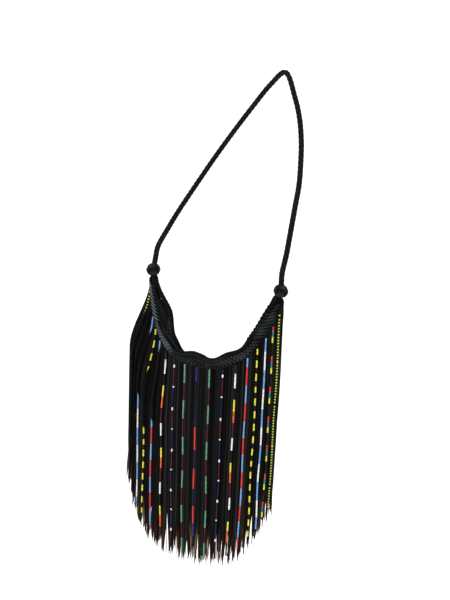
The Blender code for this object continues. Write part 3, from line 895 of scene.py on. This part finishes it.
# The rims.
class Rim:
    """One edge of the mouth: where it lies, and the face that looks out from the purse."""

    def __init__(self, edge_place, inner_at, outward, body):
        self.edge_place, self.inner_at, self.outward, self.body = edge_place, inner_at, outward, body

    def places(self, along, inward, out):
        """Points at a distance out from the rim's inner face, with the way out of the purse."""
        across, height = self.edge_place(along, inward)
        points = wrap(across, height, self.inner_at(seam_across(along)) + self.outward * out)
        return points, self.outward * away_from_hip(across)

    def drawn_places(self, along, inward, out):
        """As places, but past each tip they are drawn together into the knot."""
        share = ease((np.abs(along) - tip_reach + drawn_before) / (into_knot + drawn_before))
        knot_out = self.outward * (knot_radius - self.inner_at(seam_across(along)))
        from_middle = inward - rim_width_at(along) / 2
        inward = inward + share * (knot_shift - drawn_width_share * from_middle)
        return self.places(along, inward, out + share * (knot_out - drawn_thickness_share * out))

    def sheet(self, along, rows):
        """Grid of drawn places, with one row for each distance inward and out."""
        return np.stack([self.drawn_places(along, inward, out)[0] for inward, out in rows], 1)


front_rim = Rim(seam_place, lambda across: panel_inner + 0.0 * across, 1.0, "front_lip")
back_rim = Rim(back_place, back_inner_at, -1.0, "bag")

# What runs along a rim is drawn together from just before the tip, by these shares of its width
# and thickness, and ends inside the knot.
drawn_before = 3 * mm
into_knot = 9 * mm
drawn_width_share = 0.6
drawn_thickness_share = 0.7
# A rim is a leather band with a crown, as shares of the rim's width and thickness.
band_crown = ((0.02, 0.45), (0.12, 0.62), (0.35, 0.68), (0.65, 0.68), (0.88, 0.62), (0.98, 0.45))
# Flat laces are plaited over it, between these shares of its width. A lace is back where it was
# after each turn.
plait_low_share = 0.10
plait_high_share = 0.76
plait_widening = 0.14
plait_laces = 4
plait_turn = 32 * mm
plait_step = 2 * mm
plait_lace_width = 3.5 * mm
plait_lace_thickness = 1.4 * mm
plait_rise = 0.9 * mm
# The plait sinks where its laces turn back, and is tucked in at both ends.
turning_roundness = 0.3
turning_dip = 0.9 * mm
tuck_depth = 2.4 * mm
tuck_length = 6 * mm
# The crowns of its crossings are painted paler, as rubbed wear and as painted highlight: a little everywhere,
# more on the right and most on the left, but hardly where the rim is whipped.
plait_wear_and_highlight = 0.25
left_wear_and_highlight = 0.75
right_wear_and_highlight = 0.15
whipped_wear_and_highlight = 0.1
# A smooth cord lies under the piping in the middle of the scoop, and the plait widens past its ends.
cord_reach = 0.050
cord_fade = 0.030
cord_thinning = 0.8
# The cords are painted paler in the middle of the scoop, as a painted highlight line along them and as rubbed
# wear.
cord_wear_and_highlight = 0.4
upper_cord = 2.6 * mm
upper_cord_share = 0.90
# A thinner cord runs the whole way along the rim's lower edge.
lower_cord = 1.8 * mm
lower_cord_share = 0.05
lower_cord_depth = 1.2 * mm
# Near the tips the rim is whipped with flat laces instead.
whip_start = 0.132
whip_spacing = 8.0 * mm
whip_lean = 24.0 * mm
whip_lace_width = 2.8 * mm
whip_lace_thickness = 1.1 * mm
whip_thinning = 0.5
# The whipped laces are painted paler across their outer faces, as painted highlight and rubbed wear, fully on
# the left and a fifth as much on the right.
whip_wear_and_highlight = {-1: 1.0, 1: 0.2}
# A whipped lace's course: share of the rim's width, and millimetres above that and out from the face.
whip_up = (
    (0.04, 0.0, -1.0), (0.20, 0.0, 0.0), (0.36, 0.0, 0.35), (0.52, 0.0, 0.4), (0.68, 0.0, 0.4),
    (0.84, 0.0, 0.35), (0.96, 0.0, 0.1), (1.0, 1.5, -0.8),
)
# From there it goes close over the piping, with the last value out from the piping's middle.
whip_over = ((1.0, 3.8, 1.8), (1.0, 4.5, 0.0), (1.0, 3.8, -1.8), (1.0, 1.5, -2.8), (1.0, -1.0, -2.8))
# How far the woven part of the back facing lies from the snap, how far it reaches to each side,
# and how far it stands on the facing.
snap_room = 0.014
woven_reach = 0.150
woven_height = 2.0 * mm
woven_shares = (0.08, 0.92)
# The rivet's place on the back facing, and its outline: millimetres up, and radius.
rivet_along = -0.185
rivet_share = 0.55
rivet_profile = ((0.0, 2.3), (0.5, 2.3), (1.0, 1.9), (1.4, 1.2), (1.5, 0.4))
# The facings' stitches: spacing, length, and the thread's width and thickness. Their rows lie at
# these shares of the rim's width, and each stitch stands up a little and bows down at its ends.
seam_stitch = (4.5 * mm, 3.2 * mm, 0.7 * mm, 0.6 * mm)
stitch_row_shares = (0.12, 0.88)
stitch_rise = 0.15 * mm
stitch_bow = 1.2 * mm


def past_cord(along):
    """From 0 over the middle of the scoop to 1 where the smooth cord has ended."""
    return ease((np.abs(along) - cord_reach) / cord_fade)


def add_plait(shape, rim, face, facing, low, high, spots, finish):
    """Laces that zigzag over and under each other between two shares of the rim's width.

    Face is where their crowns lie, out from the rim's inner face, and facing is 1 where they
    look out of the purse and -1 where they look into it.
    """
    width = rim_width_at(spots)
    middle = face - facing * (plait_lace_thickness / 2 + plait_rise)
    tuck = tuck_depth * (1.0 - ease(np.minimum(spots - spots[0], spots[-1] - spots) / tuck_length))
    for lace in range(plait_laces):
        phase = spots / plait_turn + lace / plait_laces
        zigzag = 4.0 * np.abs(phase - np.floor(phase + 0.5)) - 1.0
        rounded = turning_roundness * np.sin(zigzag * math.pi / 2) + (1.0 - turning_roundness) * zigzag
        inward = width * (low + (high - low) * (0.5 + 0.5 * rounded))
        # A lace goes over and under by turns, the other way round on its way back.
        way = np.clip(3.0 * np.sin(phase * math.tau), -1.0, 1.0)
        over = way * np.cos(plait_laces * phase * math.tau)
        rise = middle + facing * (plait_rise * over - turning_dip * np.abs(rounded) ** 8 - tuck)
        points, outs = rim.drawn_places(spots, inward, rise)
        # Crowns painted paler, as rubbed wear and as painted highlight, more away from the middle of the
        # scoop.
        wear_and_highlight = plait_wear_and_highlight + np.where(spots < 0.0, left_wear_and_highlight, right_wear_and_highlight) * past_cord(spots)
        wear_and_highlight = wear_and_highlight * ease((over - 0.45) / 0.5)
        wear_and_highlight = wear_and_highlight * (1.0 - (1.0 - whipped_wear_and_highlight) * ease((np.abs(spots) - whip_start) / 0.02))
        lace_width = plait_lace_width * width / rim_width
        add_cord(shape, points, outs, lace_width, plait_lace_thickness, finish, wear_and_highlight)


def add_whipping(shape, rim, thickness):
    """Laces whipped slantwise round the rim, between the open plait and each tip."""
    climb, above, out = np.array(whip_up + whip_over).T
    steps = len(climb)
    from_face = np.arange(steps) < len(whip_up)
    out = np.where(from_face, thickness, welt_diameter / 2) + out * mm
    arc = np.linspace(0.0, 1.0, steps)
    flatness = whip_lace_thickness * (1.0 - whip_thinning * ease((arc - 0.5) / 0.15))
    count = int((tip_reach - 2 * mm - whip_lean / 2 - whip_start) / whip_spacing)
    for side in (-1, 1):
        # Painted highlight and wear, palest across the middle of each lace's outer face.
        wear_and_highlight = whip_wear_and_highlight[side] * ease(1.0 - np.abs(arc - 0.36) / 0.40)
        for lace in range(count):
            along = side * (whip_start + whip_lean / 2 + lace * whip_spacing)
            spots = along - side * whip_lean * (np.minimum(1.25 * arc, 1.0) - 0.5)
            points, outs = rim.drawn_places(spots, climb * rim_width_at(spots) + above * mm, out)
            outs = np.tile(outs[steps // 2], (steps, 1))
            add_cord(shape, points, outs, whip_lace_width, flatness, 0, wear_and_highlight, 8)


def make_plaited_rim(name, node, rim, thickness):
    """Leather band with a plait, two smooth cords beside it and whipping near the tips."""
    shape = Shape()
    reach = tip_reach + into_knot
    spots = np.linspace(-reach, reach, 240)
    width = rim_width_at(spots)
    beside = past_cord(spots)
    shape.add_slab(rim.sheet(spots, [(share * width, rise * thickness) for share, rise in band_crown]),
                   rim.sheet(spots, [(share * width, 0.0) for share, _ in band_crown]))
    high = plait_high_share + plait_widening * beside
    add_plait(shape, rim, thickness, 1.0, plait_low_share, high, spots, 0)
    # Both cords are painted paler where the smooth cord lies, as painted highlight and rubbed wear.
    for share, cord, depth in ((upper_cord_share, upper_cord * (1.0 - cord_thinning * beside), 0.0),
                               (lower_cord_share, lower_cord, lower_cord_depth)):
        points, outs = rim.drawn_places(spots, share * width, thickness - depth - cord / 2)
        add_cord(shape, points, outs, cord, cord, 1, cord_wear_and_highlight * (1.0 - beside))
    add_whipping(shape, rim, thickness)
    finish_piece(shape.build(name, [plait_leather, piping_leather]), rim.body, node)


def make_welt(name, node, rim):
    """Rolled piping with a slight pucker at each stitch."""
    reach = tip_reach + into_knot
    spots = np.linspace(-reach, reach, 300)
    points, outs = rim.drawn_places(
        spots, rim_width_at(spots) + seat_gap + welt_diameter / 2, welt_diameter / 2)
    pucker = welt_diameter * (0.98 + 0.03 * np.sin(spots / seam_stitch[0] * math.tau))
    shape = Shape()
    add_cord(shape, points, outs, pucker, pucker, 0, np.full(len(spots), 0.1), 12)
    finish_piece(shape.build(name, [piping_leather]), rim.body, node)


def make_facing(name, node, rim, woven):
    """Leather strip inside the rim, sewn along both edges with a row of stitches.

    The back one carries a plait too, on both sides of the snap, which shows inside the mouth.
    """
    shape = Shape()
    reach = tip_reach + into_knot
    spots = np.linspace(-reach, reach, 161)
    width = rim_width_at(spots) - 2 * seat_gap
    depth = seat_gap + facing_leather
    shares = np.linspace(0.0, 1.0, 5)
    shape.add_slab(*[rim.sheet(spots, [(seat_gap + share * width, -low) for share in shares])
                     for low in (seat_gap, depth)])
    spacing, length, thread_width, thread_thickness = seam_stitch
    arc = np.linspace(-0.5, 0.5, 5)
    for share in stitch_row_shares:
        for along in np.arange(-tip_reach + spacing, tip_reach - spacing, spacing):
            spots = along + length * arc
            rise = depth + stitch_rise - stitch_bow * arc ** 2
            points, outs = rim.places(spots, share * rim_width_at(spots), -rise)
            add_cord(shape, points, outs, thread_width, thread_thickness, 1, None, 6)
    if woven:
        for side in (-1, 1):
            spots = np.arange(*sorted((side * snap_room, side * woven_reach)), plait_step)
            add_plait(shape, rim, -depth - woven_height, -1.0, *woven_shares, spots, 2)
    materials = [smooth_facing_leather_painted_lit, waxed_thread, woven_facing_leather]
    finish_piece(shape.build(name, materials), rim.body, node)


def make_rivet():
    """Small domed rivet that holds the back facing near the left tip."""
    along = np.array([rivet_along])
    inward = rivet_share * rim_width_at(along)
    place, outs = back_rim.places(along, inward, np.array([-seat_gap - facing_leather]))
    way = -outs[0]
    side = unit(np.cross(way, [0.0, 0.0, 1.0]))
    count = 20
    round_rivet = turned(angles_round(count), side, np.cross(way, side))
    rings = [place[0] + way * rise * mm + radius * mm * round_rivet for rise, radius in rivet_profile]
    shape = Shape()
    shape.add(np.array(rings), ring_faces(len(rings), count))
    finish_piece(shape.build("facing_rivet", [nickel]), "bag", None)


# The pouch.
wall_columns = 161
wall_rows = 31
# Creases in the walls are this wide, longer upright, and fade out over these shares of a wall's
# height and half width at its edges.
crease_width = 0.035
crease_upright_share = 0.6
fade_down_share = 1.0 / 6.0
fade_across_share = 1.0 / 8.0
front_crease = 0.5 * mm
back_crease = 1.2 * mm
cloth_crease = 0.25 * mm
gusset_slack = 1.2 * mm
gusset_waves = 31.0
# The front wall and its lining are cut in this many upright panels.
stretch_panels = 20
pocket_half_width = 0.048
pocket_top = -0.140
pocket_depth = 0.075
pocket_slack = 1.2 * mm
pocket_hem = 0.5 * mm
pocket_hem_share = 0.12
# The pocket's seam, as shares of its half width and depth, and its stitches: spacing, share of
# it that shows, and the thread's width and thickness.
pocket_seam = ((-0.94, 0.02), (-0.94, 0.97), (0.94, 0.97), (0.94, 0.02))
pocket_stitch = (3.5 * mm, 0.7, 0.6 * mm, 0.5 * mm)


def crumple(points, depth):
    """Soft unevenness for each point of a grid, from layered noise."""
    values = []
    for point in points.reshape(-1, 3):
        place = Vector(point) / crease_width
        values.append(noise.noise(place) + 0.5 * noise.noise(place * 2.2))
    return depth * np.array(values).reshape(points.shape[:-1])


def wall_grids(edge_place, face, thickness, top_inset, edge_inset, crease):
    """Points on both faces of a wall of the pouch, with soft creases that fade at its edges."""
    shares = np.linspace(-1.0, 1.0, wall_columns)[:, None]
    down = np.linspace(0.0, 1.0, wall_rows)[None, :]
    across, height = pouch_place(edge_place, shares, down, top_inset, edge_inset)
    radius = face(across, height, down + 0.0 * shares)
    free = np.minimum(1.0, np.minimum(down, 1.0 - down) / fade_down_share)
    free = free * np.minimum(1.0, (1.0 - np.abs(shares)) / fade_across_share)
    creased = crumple(wrap(across, height, radius) * [1.0, 1.0, crease_upright_share], crease)
    radius = radius + creased * free
    return wrap(across, height, radius), wrap(across, height, radius - thickness)


def make_wall(name, node, material, grids):
    shape = Shape()
    shape.add_slab(*grids)
    finish_piece(shape.build(name, [material]), "bag", node)


def make_stretching_wall(name, node, material, grids):
    """A wall cut in upright panels, edge to edge, each a piece of its own.
    """
    outer, inner = grids
    columns = len(outer) - 1
    for panel in range(stretch_panels):
        first, last = panel * columns // stretch_panels, (panel + 1) * columns // stretch_panels
        shape = Shape()
        shape.add_slab(outer[first:last + 1], inner[first:last + 1])
        piece = shape.build(f"{name}_{panel + 1}", [material])
        finish_piece(piece, None, node)
        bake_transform(piece)


def make_gusset():
    """Strip between the two walls, a little slack between its seams."""
    shares = np.linspace(-1.0, 1.0, wall_columns)
    faces = []
    for inset in (seat_gap, seat_gap + leather):
        across, height = pouch_outline(shares, inset)
        low = back_radius(across, height) + fall_gap
        rows = []
        for share in np.linspace(0.0, 1.0, 7):
            slack = gusset_slack * math.sin(math.pi * share)
            slack = slack * (0.6 + 0.4 * np.sin(shares * gusset_waves))
            spot_across, spot_height = pouch_outline(shares, inset + slack)
            rows.append(wrap(spot_across, spot_height, low + (panel_inner - fall_gap - low) * share))
        faces.append(np.stack(rows, 1))
    make_wall("gusset_leather", "gusset", panel_leather, faces)


def make_pocket():
    """Slip pocket on the back lining, hemmed at the top and sewn round the other edges."""
    shape = Shape()
    across = np.linspace(-pocket_half_width, pocket_half_width, 41)[:, None]
    down = np.linspace(0.0, 1.0, 25)[None, :]
    height = pocket_top - pocket_depth * down + 0.0 * across
    slack = pocket_slack * np.sin(math.pi * (across / pocket_half_width + 1.0) / 2) * (1.0 - down) ** 2
    hem = pocket_hem * (down < pocket_hem_share)
    low = back_radius(across, height) + 2 * lining_gap + lining_cloth
    shape.add_slab(wrap(across, height, low + lining_cloth + slack + hem), wrap(across, height, low + slack))
    spacing, stitch_share, thread_width, thread_thickness = pocket_stitch
    for (side, depth), (next_side, next_depth) in zip(pocket_seam, pocket_seam[1:]):
        run = (next_side - side) * pocket_half_width
        fall = (next_depth - depth) * pocket_depth
        count = int(math.hypot(run, fall) / spacing)
        for stitch in range(count):
            shares = (stitch + 0.5 + stitch_share * np.linspace(-0.5, 0.5, 4)) / count
            spot = side * pocket_half_width + run * shares
            spot_height = pocket_top - depth * pocket_depth - fall * shares
            radius = back_radius(spot, spot_height) + 2 * (lining_gap + lining_cloth) + stitch_rise
            add_cord(shape, wrap(spot, spot_height, radius), away_from_hip(spot), thread_width,
                     thread_thickness, 1, None, 6)
    finish_piece(shape.build("slip_pocket", [twill, waxed_thread]), "bag", "inner_pocket")


def make_pouch():
    inset = seat_gap + leather + lining_gap

    def front_cloth(across, height, down):
        return front_radius(across, height, down) - leather - lining_gap

    def back_cloth(across, height, down):
        return back_radius(across, height, down) + lining_gap + lining_cloth
    front_wall = wall_grids(seam_place, front_radius, leather, fall_gap, 0.0, front_crease)
    back_wall = wall_grids(back_place, back_radius, leather, fall_gap, 0.0, back_crease)
    front_lining = wall_grids(seam_place, front_cloth, lining_cloth, lining_gap, inset, cloth_crease)
    back_lining = wall_grids(back_place, back_cloth, lining_cloth, lining_gap, inset, cloth_crease)
    make_stretching_wall("front_wall", "front_panel", panel_leather, front_wall)
    make_wall("back_wall", "back_panel", panel_leather, back_wall)
    make_gusset()
    make_stretching_wall("front_lining", "lining", twill, front_lining)
    make_wall("back_lining", "lining", twill, back_lining)
    make_pocket()


# The knots and the strap.
knot_cord = 3.7 * mm
knot_rise = 0.9 * mm
knot_core_share = 0.37
# The bands are turned off the upright by these angles, as a hand-tied knot's are, and each turn
# overlaps itself a little where it closes.
knot_lean = (0.5, 0.35, 0.4)
knot_turns = 1.01
strap_core = 7.0 * mm
strap_step = 2.4 * mm
strap_turn = 42 * mm
strap_laces_each_way = 4
strap_lace_radius = 4.0 * mm
strap_lace_rise = 0.75 * mm
strap_lace_width = 4.4 * mm
strap_lace_thickness = 2.1 * mm
# The strap's ends run this far into the knots.
tucked_in = 1.5 * mm


def make_knot(side):
    """Fist knot: three bands of three turns, each over one band and under the other."""
    name = "left" if side < 0 else "right"
    centre = knot_place(side)
    middle = knot_diameter / 2 - knot_cord / 2 - knot_rise
    lean = Euler((knot_lean[0], side * knot_lean[1], knot_lean[2])).to_matrix()
    ways = np.array([list(lean.col[axis]) for axis in range(3)])
    turn = np.linspace(0.0, math.tau * knot_turns, 61)
    shape = Shape()
    for band in range(3):
        first, second, across = ways[band], ways[(band + 1) % 3], ways[(band + 2) % 3]
        rise = knot_rise * np.cos(2.0 * turn)
        outs = turned(turn, first, second)
        for offset in (-knot_cord, 0.0, knot_cord):
            radius = np.sqrt((middle + rise) ** 2 - offset ** 2)[:, None]
            points = centre + radius * outs + offset * across
            # The crowns of the bands are painted paler, as painted highlight and rubbed wear.
            add_cord(shape, points, outs, knot_cord, knot_cord, 0, ease((rise / knot_rise - 0.2) / 0.8))
    rows = np.linspace(0.05, 0.95, 14) * math.pi
    angles = angles_round(24)
    level = np.stack([np.cos(angles), np.sin(angles), 0.0 * angles], -1)
    ball = [centre + knot_core_share * knot_diameter * (np.sin(row) * level - [0.0, 0.0, math.cos(row)])
            for row in rows]
    shape.add(np.array(ball), ring_faces(len(rows), len(angles)))
    finish_piece(shape.build("fist_knot_" + name, [knot_leather]), "bag", "knot_" + name)


def make_strap():
    """Round plait of eight laces, four each way, over a leather core."""
    places = [np.array(spot) - hang_point for spot in strap_route]
    beyond = knot_diameter / 2 - tucked_in
    right, left = knot_place(1), knot_place(-1)
    start = right + unit(places[0] - right) * beyond
    end = left + unit(places[-1] - left) * beyond
    path, length = even_path([start] + places + [end], strap_step)
    along, sides, fronts = carried_frames(path)
    shape = Shape()
    shape.add_sweep(path, sides, fronts, circle(strap_core, 12))
    spots = np.linspace(0.0, length, len(path))
    for way in (1.0, -1.0):
        for lace in range(strap_laces_each_way):
            turn = way * spots / strap_turn * math.tau + lace * math.tau / strap_laces_each_way
            rise = way * strap_lace_rise * np.cos(strap_laces_each_way * spots / strap_turn * math.tau)
            outs = turned(turn, sides, fronts)
            points = path + outs * (strap_lace_radius + rise)[:, None]
            # The crowns of the laces are painted paler, as painted highlight and rubbed wear.
            wear_and_highlight = ease((rise / strap_lace_rise - 0.3) / 0.7)
            add_cord(shape, points, outs, strap_lace_width, strap_lace_thickness, 0, wear_and_highlight, 8)
    piece = shape.build("braided_strap", [strap_leather])
    finish_piece(piece, "strap", "strap_braid")


# Studio.
floor_clearance = 0.30
# Outline of the paper sweep, in metres back and up, and half of its width.
paper_outline = ((-3.0, 0.0), (1.6, 0.0), (2.0, 0.06), (2.3, 0.25), (2.45, 0.6), (2.5, 4.0))
paper_half_width = 5.0
# Light that the paper gives of itself to the eye, and what the room gives the purse and the eye.
paper_glow = 0.35
room_light = 0.7
room_white = 1.0
# Square lamps: name, place, power in watts and size.
lamps = (
    ("key", (-1.6, -2.6, 1.2), 55.0, 1.6),
    ("fill", (2.4, -1.8, 0.2), 22.0, 2.0),
    ("back", (0.4, 2.2, 1.2), 20.0, 1.5),
)
lamp_target = Vector((0.0, -0.25, -0.5))


def place_new(name, content):
    holder = bpy.data.objects.new(name, content)
    bpy.context.scene.collection.objects.link(holder)
    return holder


def seen_directly(tree, otherwise, strength):
    """A strength for camera, glossy and transmitted rays, and another for all the rest."""
    rays = add_node(tree, "ShaderNodeLightPath")
    some = add_node(tree, "ShaderNodeMath", {
        0: rays.outputs["Is Camera Ray"], 1: rays.outputs["Is Glossy Ray"]}, operation="MAXIMUM")
    every = add_node(tree, "ShaderNodeMath", {
        0: some.outputs["Value"], 1: rays.outputs["Is Transmission Ray"]}, operation="MAXIMUM")
    chosen = add_node(tree, "ShaderNodeMapRange", {
        "Value": every.outputs["Value"], "To Min": otherwise, "To Max": strength})
    return chosen.outputs["Result"]


def make_studio():
    """White paper sweep, an even white room and three soft lamps.

    The paper and the room are lifted to white for what the eye and the bright finishes see,
    not for the light on the purse.
    """
    material, tree, surface = start_material("pale_paper", 0.9)
    surface.inputs["Base Color"].default_value = linear("#f2f2f0")
    surface.inputs["Emission Color"].default_value = (1.0, 1.0, 1.0, 1.0)
    tree.links.new(seen_directly(tree, 0.0, paper_glow), surface.inputs["Emission Strength"])
    low = cad_box[0].z - floor_clearance
    shape = Shape()
    shape.add([(x, y, low + z) for y, z in paper_outline for x in (-paper_half_width, paper_half_width)],
              [(2 * row, 2 * row + 1, 2 * row + 3, 2 * row + 2) for row in range(len(paper_outline) - 1)])
    shape.build("paper_sweep", [material], 80.0)
    world = bpy.data.worlds.new("soft_room")
    bpy.context.scene.world = world
    world.use_nodes = True
    tree = world.node_tree
    background = tree.nodes["Background"]
    background.inputs["Color"].default_value = (1.0, 1.0, 1.0, 1.0)
    tree.links.new(seen_directly(tree, room_light, room_white), background.inputs["Strength"])
    for name, place, power, size in lamps:
        lamp = bpy.data.lights.new(name, "AREA")
        lamp.energy = power
        lamp.size = size
        holder = place_new(name, lamp)
        holder.location = place
        holder.rotation_mode = "QUATERNION"
        holder.rotation_quaternion = (lamp_target - Vector(place)).to_track_quat("-Z", "Y")


def make_camera():
    camera = bpy.data.cameras.new("camera")
    camera.lens = camera_lens
    camera.clip_start = camera_clip_start
    holder = place_new("camera", camera)
    bpy.context.scene.camera = holder
    a, e, r = camera_azimuth, camera_elevation, camera_roll
    back = np.array([math.sin(a) * math.cos(e), -math.cos(a) * math.cos(e), math.sin(e)])
    right = np.array([math.cos(a), math.sin(a), 0.0])
    up = np.cross(back, right)
    right_rolled = right * math.cos(r) + up * math.sin(r)
    up_rolled = up * math.cos(r) - right * math.sin(r)
    eye = back * camera_distance - hang_point
    eye += right_rolled * camera_shift_right + up_rolled * camera_shift_up
    matrix = np.eye(4)
    matrix[:3, 0], matrix[:3, 1], matrix[:3, 2], matrix[:3, 3] = right_rolled, up_rolled, back, eye
    holder.matrix_world = [list(row) for row in matrix.T]


# The purse, piece by piece.
chance = random.Random(5)
for station in range(-side_stations, side_stations + 1):
    make_strips(station, chance)
    make_beads(station, chance)
make_plaited_rim("plaited_front_rim", "front_rim", front_rim, rim_radius - panel_inner)
make_plaited_rim("plaited_back_rim", "back_rim", back_rim, back_rim_thickness)
make_welt("front_piping", "front_welt", front_rim)
make_welt("back_piping", "back_welt", back_rim)
make_facing("sewn_front_facing", "front_facing", front_rim, False)
make_facing("sewn_back_facing", "back_facing", back_rim, True)
make_pouch()
make_knot(-1)
make_knot(1)
make_strap()
make_rivet()

# The snap's solids stay as they are, in nickel.
for node in ("snap_front", "snap_back"):
    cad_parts[node].data.materials.clear()
    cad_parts[node].data.materials.append(nickel)

make_studio()
make_camera()
bpy.context.scene.view_settings.view_transform = "Standard"
